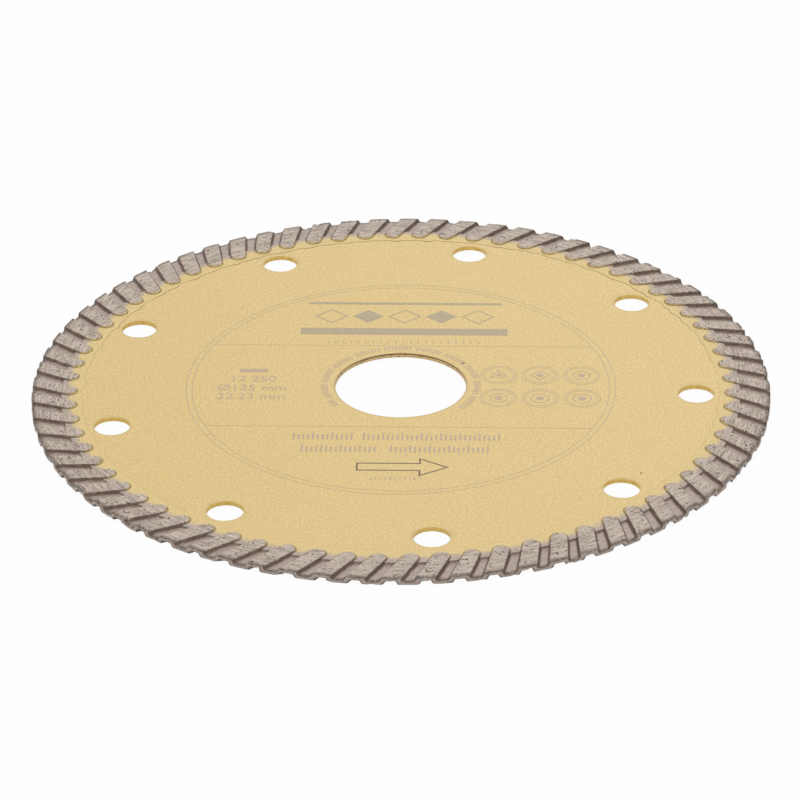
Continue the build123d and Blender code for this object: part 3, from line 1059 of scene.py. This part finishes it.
def rim_bond():
    """Sintered bond: ground tops with tangential lines and dark pores, rough grooves, gold overspray, painted
    shade on the walls and at the noses' feet, and a dark seam that is part joint, part painted shade.
    """
    s = Shader("rim_bond")
    lines = s.noise(s.polar(*LINES_ROUND), *LINES)
    mottle = s.noise(s.place, *MOTTLE)
    grain = s.noise(s.place, *LACQUER_GRAIN)
    paint = s.mix(SPRAY_PALER, gold_tone(s, grain), GOLD_PALE)
    # the overspray on the walls deepened and darkened: painted shade
    wall_shade_tone = s.mix(s.ramp(mottle, 0.45, 0.58), GOLD_WALL_SHADE, GOLD_WALL_DEEP_SHADE)
    paint = s.mix(s.attribute("wall"), paint, wall_shade_tone)
    speckle = s.math("ADD", s.ramp(mottle, 0.3, 0.7, -0.25, 0.25), s.ramp(grain, 0.35, 0.65, -0.3, 0.3))
    thickness = s.math("ADD", s.attribute("painted"), speckle)
    base = s.mix(s.ramp(thickness, 0.3, 0.7), bond_tone(s, lines, mottle), paint)
    # painted shade in the crease at each nose's foot
    foot = s.math("MULTIPLY", s.attribute("foot"), s.ramp(mottle, 0.3, 0.6, 1.0, 0.6))
    base = s.mix(foot, base, FOOT_CREASE_SHADE)
    # the dark seam at the skirt's edge: part joint, part painted shade
    seam = s.math("MULTIPLY", s.attribute("seam"), s.ramp(mottle, 0.3, 0.5, 0.6, 1.0))
    base = s.mix(seam, base, SEAM_JOINT_AND_SHADE)
    # the relief is strong in the grooves and faint on the ground tops
    pitted = s.math("MULTIPLY", mottle, s.ramp(s.attribute("ground_top"), 0.0, 1.0, 1.0, 0.2))
    relief = s.math("ADD", s.math("MULTIPLY", lines, LINE_RELIEF), pitted)
    return s.finish(Base_Color=base, Roughness=0.6, Metallic=0.15, Normal=s.bump(relief, *BOND_BUMP))


def diamond_grit():
    """Dark, slightly glassy crystals."""
    s = Shader("diamond_grit")
    base = s.mix(s.ramp(s.noise(s.place, *GRIT_TINT), 0.4, 0.6), GRIT_DARK, GRIT_LIGHT)
    return s.finish(Base_Color=base, Roughness=0.4, Specular_IOR_Level=0.3)


def printing_ink(name, first, second):
    """Thin printed ink: two close tones in a fine grain."""
    s = Shader(name)
    base = s.mix(s.ramp(s.noise(s.place, *INK_GRAIN), 0.35, 0.65), first, second)
    return s.finish(Base_Color=base, Roughness=0.45)


# ---------------------------------------------------------------- floor and light
FLOOR_REACH = 3.0                # metres
FLOOR_GAP = 0.01                 # between the floor and the lowest crystal
FLOOR_COLOUR = (0.9, 0.9, 0.9, 1)
FLOOR_GLOW = 0.95                # how much of the floor's colour is plain white to the eye
WHITE = (1, 1, 1, 1)
WORLD_STRENGTH = 0.5
LAMPS = (                        # name, place and size in metres, and power in watts
    ("key", (-0.5, -0.3, 0.9), 0.5, 2.9),
    ("fill", (0.7, -0.5, 0.7), 0.7, 1.8),
    ("back", (0.1, 0.9, 0.6), 0.6, 1.8),
)


def white_to_the_eye(tree, lit, glow, share, output):
    """Ends a tree in a lit closure, and mixes in that share of a white glow for what camera, glossy and
    transmission rays see."""
    paths = tree.nodes.new("ShaderNodeLightPath")
    seen = paths.outputs["Is Camera Ray"]
    for ray in ("Is Glossy Ray", "Is Transmission Ray"):
        either = tree.nodes.new("ShaderNodeMath")
        either.operation = "MAXIMUM"
        tree.links.new(seen, either.inputs[0])
        tree.links.new(paths.outputs[ray], either.inputs[1])
        seen = either.outputs[0]
    part = tree.nodes.new("ShaderNodeMath")
    part.operation = "MULTIPLY"
    part.inputs[1].default_value = share
    tree.links.new(seen, part.inputs[0])
    mixed = tree.nodes.new("ShaderNodeMixShader")
    tree.links.new(part.outputs[0], mixed.inputs[0])
    tree.links.new(lit.outputs[0], mixed.inputs[1])
    tree.links.new(glow.outputs[0], mixed.inputs[2])
    tree.links.new(mixed.outputs[0], output.inputs["Surface"])


def make_floor():
    """A plain pale floor that keeps a soft shadow."""
    low = -(RIM_FACE + GRIT_STAND + FLOOR_GAP) * MM
    corners = [(-1, -1), (1, -1), (1, 1), (-1, 1)]
    mesh = bpy.data.meshes.new("floor")
    mesh.from_pydata([(x * FLOOR_REACH, y * FLOOR_REACH, low) for x, y in corners], [], [(0, 1, 2, 3)])
    floor = bpy.data.objects.new("floor", mesh)
    bpy.context.scene.collection.objects.link(floor)
    material = bpy.data.materials.new("floor")
    material.use_nodes = True
    tree = material.node_tree
    tree.nodes.clear()
    matt = tree.nodes.new("ShaderNodeBsdfDiffuse")
    matt.inputs["Color"].default_value = FLOOR_COLOUR
    glow = tree.nodes.new("ShaderNodeEmission")
    white_to_the_eye(tree, matt, glow, FLOOR_GLOW, tree.nodes.new("ShaderNodeOutputMaterial"))
    mesh.materials.append(material)


def make_light():
    """A white world and three soft lamps that face the blade."""
    world = bpy.data.worlds.new("world")
    bpy.context.scene.world = world
    world.use_nodes = True
    tree = world.node_tree
    tree.nodes.clear()
    sky, seen_sky = tree.nodes.new("ShaderNodeBackground"), tree.nodes.new("ShaderNodeBackground")
    for node, strength in ((sky, WORLD_STRENGTH), (seen_sky, 1.0)):
        node.inputs["Color"].default_value = WHITE
        node.inputs["Strength"].default_value = strength
    white_to_the_eye(tree, sky, seen_sky, 1.0, tree.nodes.new("ShaderNodeOutputWorld"))

    for name, place, size, power in LAMPS:
        data = bpy.data.lights.new(name, "AREA")
        data.shape, data.size, data.energy = "DISK", size, power
        lamp = bpy.data.objects.new(name, data)
        lamp.location = place
        lamp.rotation_euler = (-Vector(place)).to_track_quat("-Z", "Y").to_euler()
        bpy.context.scene.collection.objects.link(lamp)


# ---------------------------------------------------------------- making
make_camera()
make_floor()
make_light()
finish_piece(make_rim(), rim_bond(), "rim_bond", "turbo_rim")
finish_piece(make_core(), gold_lacquer(), "core_paint", "steel_core")
finish_piece(make_grit(), diamond_grit(), "grit", "diamond_grit")
face_print = ink_slab("face_print", make_print() + make_scales())
finish_piece(face_print, printing_ink("pale_ink", *INK_PALE), "core_paint")
band = ink_slab("lozenge_band", make_band())
finish_piece(band, printing_ink("band_ink", *INK_BAND), "core_paint")
arrow = ink_slab("direction_arrow", [stroke(ARROW, BOLD_LINE)])
finish_piece(arrow, printing_ink("dark_ink", *INK_DARK), "core_paint")
spots = ink_slab("dust_spots", make_spots())
finish_piece(spots, printing_ink("dust", *SPOT), "core_paint")

bpy.context.scene.view_settings.view_transform = "Standard"
